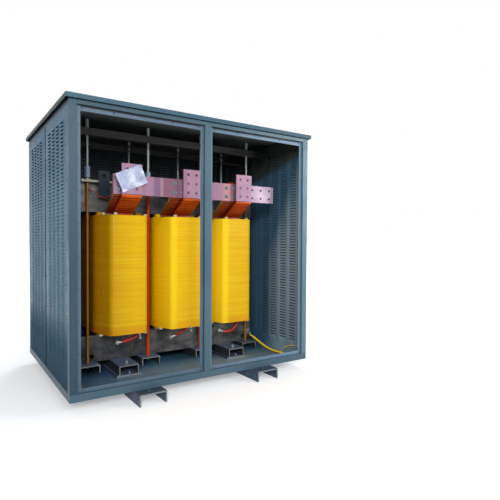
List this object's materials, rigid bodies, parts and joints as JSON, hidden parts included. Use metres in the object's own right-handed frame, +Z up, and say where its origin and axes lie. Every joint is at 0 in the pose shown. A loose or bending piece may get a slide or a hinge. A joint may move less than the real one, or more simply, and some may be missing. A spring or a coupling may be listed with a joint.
{
  "type": "dry-type power transformer",
  "caption": "Dry-type transformer with flared wound coils on a clamped core, taped copper leads to flat bars, in a louvred sheet-metal enclosure open at the front.",
  "frame": {"origin": "on the floor under the middle of the part", "axes": "+Z up; -Y out of the open front; +X to the right seen from the front"},
  "size_m": [1.594, 1.374, 1.6053],
  "materials": {
    "enclosure_paint": "blue-grey paint, satin",
    "panel_paint": "blue-grey paint, satin",
    "raw_steel": "dull mill steel",
    "dark_steel": "dark grey, satin",
    "clamp_steel": "warm grey, satin",
    "core_steel": "laminated sheet edges, varnished",
    "coil_resin": "yellow varnished winding, semi-gloss",
    "copper": "bare copper, satin",
    "orange_tape": "varnished orange tape, semi-gloss",
    "pouch_film": "clear film over white paper",
    "earth_sheath": "yellow and green sheath",
    "zinc": "zinc plated"
  },
  "bodies": {
    "root": {"base_pan": "enclosure_paint", "ceiling_beam_front": "dark_steel", "ceiling_beam_rear": "dark_steel", "coil_1": "coil_resin", "coil_2": "coil_resin", "coil_3": "coil_resin", "core": "core_steel", "corner_post_front_left": "enclosure_paint", "corner_post_front_right": "enclosure_paint", "corner_post_rear_left": "enclosure_paint", "corner_post_rear_right": "enclosure_paint", "cross_channel_1": "raw_steel", "cross_channel_2": "raw_steel", "cross_channel_3": "raw_steel", "cross_channel_4": "raw_steel", "document_pouch": "pouch_film", "earth_cable": "earth_sheath", "earth_lug": "zinc", "earth_stud": "zinc", "foot_channel_left": "raw_steel", "foot_channel_right": "raw_steel", "lower_clamp_front": "clamp_steel", "lower_clamp_rear": "clamp_steel", "mullion_front": "enclosure_paint", "mullion_rear": "enclosure_paint", "neutral_bar": "copper", "neutral_lead_1": "orange_tape", "neutral_lead_2": "orange_tape", "neutral_lead_3": "orange_tape", "panel_left_front": "panel_paint", "panel_left_rear": "panel_paint", "panel_rear_left": "panel_paint", "panel_rear_right": "panel_paint", "panel_right_front": "panel_paint", "panel_right_rear": "panel_paint", "phase_lead_1": "orange_tape", "phase_lead_2": "orange_tape", "phase_lead_3": "orange_tape", "phase_terminal_1": "copper", "phase_terminal_2": "copper", "phase_terminal_3": "copper", "roof": "enclosure_paint", "support_rail_left": "raw_steel", "support_rail_right": "raw_steel", "tie_rod_front_1": "dark_steel", "tie_rod_front_2": "dark_steel", "tie_rod_front_3": "dark_steel", "tie_rod_front_4": "dark_steel", "tie_rod_rear_1": "dark_steel", "tie_rod_rear_2": "dark_steel", "tie_rod_rear_3": "dark_steel", "tie_rod_rear_4": "dark_steel", "top_frame": "enclosure_paint", "upper_clamp_front": "clamp_steel", "upper_clamp_rear": "clamp_steel", "wall_frame_front": "enclosure_paint", "wall_frame_left": "enclosure_paint", "wall_frame_rear": "enclosure_paint", "wall_frame_right": "enclosure_paint"}
  },
  "joints": []
}
